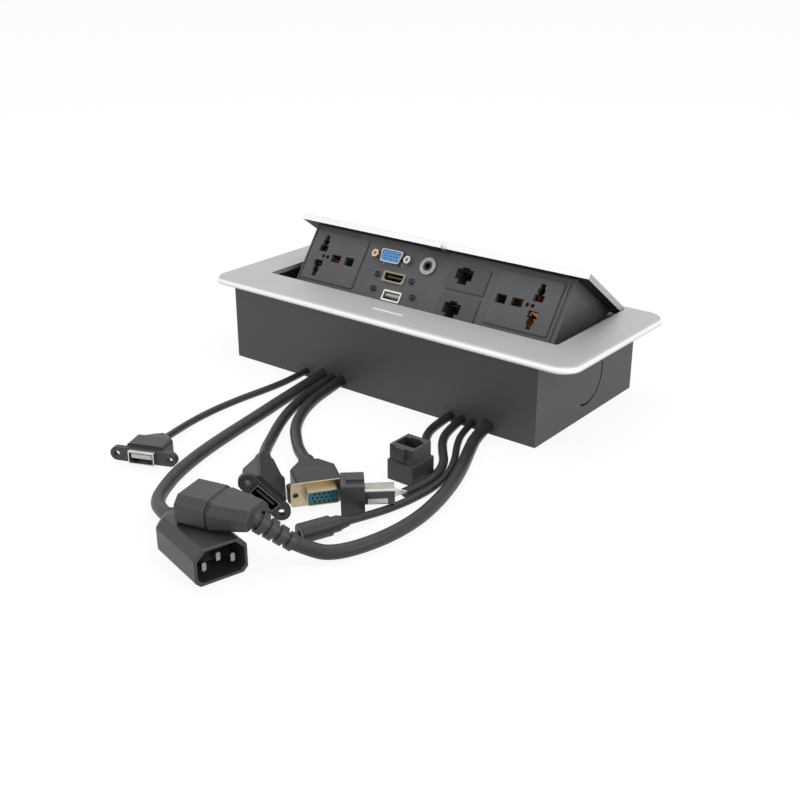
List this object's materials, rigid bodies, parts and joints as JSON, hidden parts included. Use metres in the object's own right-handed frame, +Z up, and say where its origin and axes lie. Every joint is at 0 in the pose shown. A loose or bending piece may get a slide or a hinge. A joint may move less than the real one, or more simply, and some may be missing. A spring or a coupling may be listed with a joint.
{
  "type": "multimedia desk socket",
  "caption": "Worktop power and media socket: steel box under a flange frame, tilting lid with outlet panel, and free connection leads ending in moulded connectors.",
  "frame": {"origin": "centre of the box's underside", "axes": "+X along the box's length to the right as seen from the front, +Y to the hinge side, +Z up"},
  "size_m": [0.265, 0.3181, 0.0823],
  "materials": {
    "frame_silver": "fine bead-blasted, clear anodised",
    "lid_silver": "fine bead-blasted, clear anodised",
    "box_grey": "fine texture powder coat",
    "screw_steel": "zinc plated",
    "screw_black": "black zinc plated",
    "grommet_rubber": "matt",
    "bracket_steel": "zinc plated",
    "damper_plastic": "smooth moulded",
    "magnet_nickel": "nickel plated",
    "panel_grey": "fine spark texture",
    "cheek_grey": "satin coat",
    "tray_steel": "satin coat",
    "gear_plastic": "natural acetal",
    "spring_steel": "bare spring wire",
    "socket_grey": "satin moulded",
    "socket_body_plastic": "smooth moulded",
    "contact_brass": "bright stamped",
    "contact_gold": "gold flashed",
    "port_nickel": "nickel plated, drawn",
    "video_blue": "smooth moulded",
    "video_gold": "pale gold flashed",
    "video_teal": "smooth moulded",
    "tongue_black": "smooth moulded",
    "audio_chrome": "polished",
    "data_grey": "satin moulded",
    "mould_black": "fine texture overmould",
    "mains_grey": "smooth moulded",
    "barrel_metal": "bare die casting",
    "pair_white": "insulated wire",
    "lead_sheath": "extruded sheath",
    "lead_thin": "extruded sheath"
  },
  "bodies": {
    "tilting_unit": {"lid_plate": "lid_silver", "finger_tab": "lid_silver", "panel_plate": "panel_grey", "cheek_right": "cheek_grey", "cheek_left": "cheek_grey", "tray_cover": "tray_steel", "gear_sectors": "gear_plastic", "torsion_springs": "spring_steel", "socket_left_face": "socket_grey", "socket_left_body": "socket_body_plastic", "socket_left_contacts": "contact_brass", "socket_right_face": "socket_grey", "socket_right_body": "socket_body_plastic", "socket_right_contacts": "contact_brass", "vga_shell": "port_nickel", "vga_insert": "video_blue", "vga_standoffs": "screw_steel", "hdmi_shell": "port_nickel", "usb_shell": "port_nickel", "port_tongues": "tongue_black", "audio_jack": "audio_chrome", "network_jack_upper": "data_grey", "network_jack_lower": "data_grey", "network_contacts": "contact_gold", "panel_screws": "screw_black"},
    "damper_pinions": {"damper_pinions": "gear_plastic"},
    "housing": {"audio_socket": "mould_black", "box_shell": "box_grey", "cable_grommet_left": "grommet_rubber", "cable_grommet_right": "grommet_rubber", "cord_audio": "lead_thin", "cord_hdmi": "lead_thin", "cord_mains_in": "lead_sheath", "cord_mains_out": "lead_sheath", "cord_network_a": "lead_thin", "cord_network_b": "lead_thin", "cord_usb": "lead_thin", "cord_vga": "lead_thin", "dampers": "damper_plastic", "fixing_screws": "screw_steel", "flange_frame": "frame_silver", "hdmi_port_body": "mould_black", "hdmi_port_shell": "port_nickel", "hinge_bracket_left": "bracket_steel", "hinge_bracket_right": "bracket_steel", "hinge_pins": "screw_steel", "keystone_a": "data_grey", "keystone_b_barrel": "barrel_metal", "keystone_b_front": "data_grey", "magnet_catch": "magnet_nickel", "mains_connector_body": "mains_grey", "mains_connector_boot": "mains_grey", "mains_plug_body": "mains_grey", "mains_plug_pins": "port_nickel", "network_pairs": "pair_white", "usb_port_body": "mould_black", "usb_port_shell": "port_nickel", "vga_port_body": "mould_black", "vga_port_insert": "video_teal", "vga_port_shell": "video_gold"}
  },
  "joints": [
    {"name": "tilt", "type": "hinge", "parent": "housing", "child": "tilting_unit", "pos_m": [0, 0.0492, 0.0434], "axis": [1, 0, 0], "range_deg": [0, 36], "stiffness_Nm_per_rad": 0.25, "springref_deg": -60.16},
    {"name": "damper_turn", "type": "hinge", "parent": "housing", "child": "damper_pinions", "pos_m": [0, 0.03486, 0.02292], "axis": [1, 0, 0], "range_deg": [-145, 1]}
  ],
  "couplings": [
    {"joint": "damper_turn", "follows": "tilt", "ratio": -4}
  ]
}
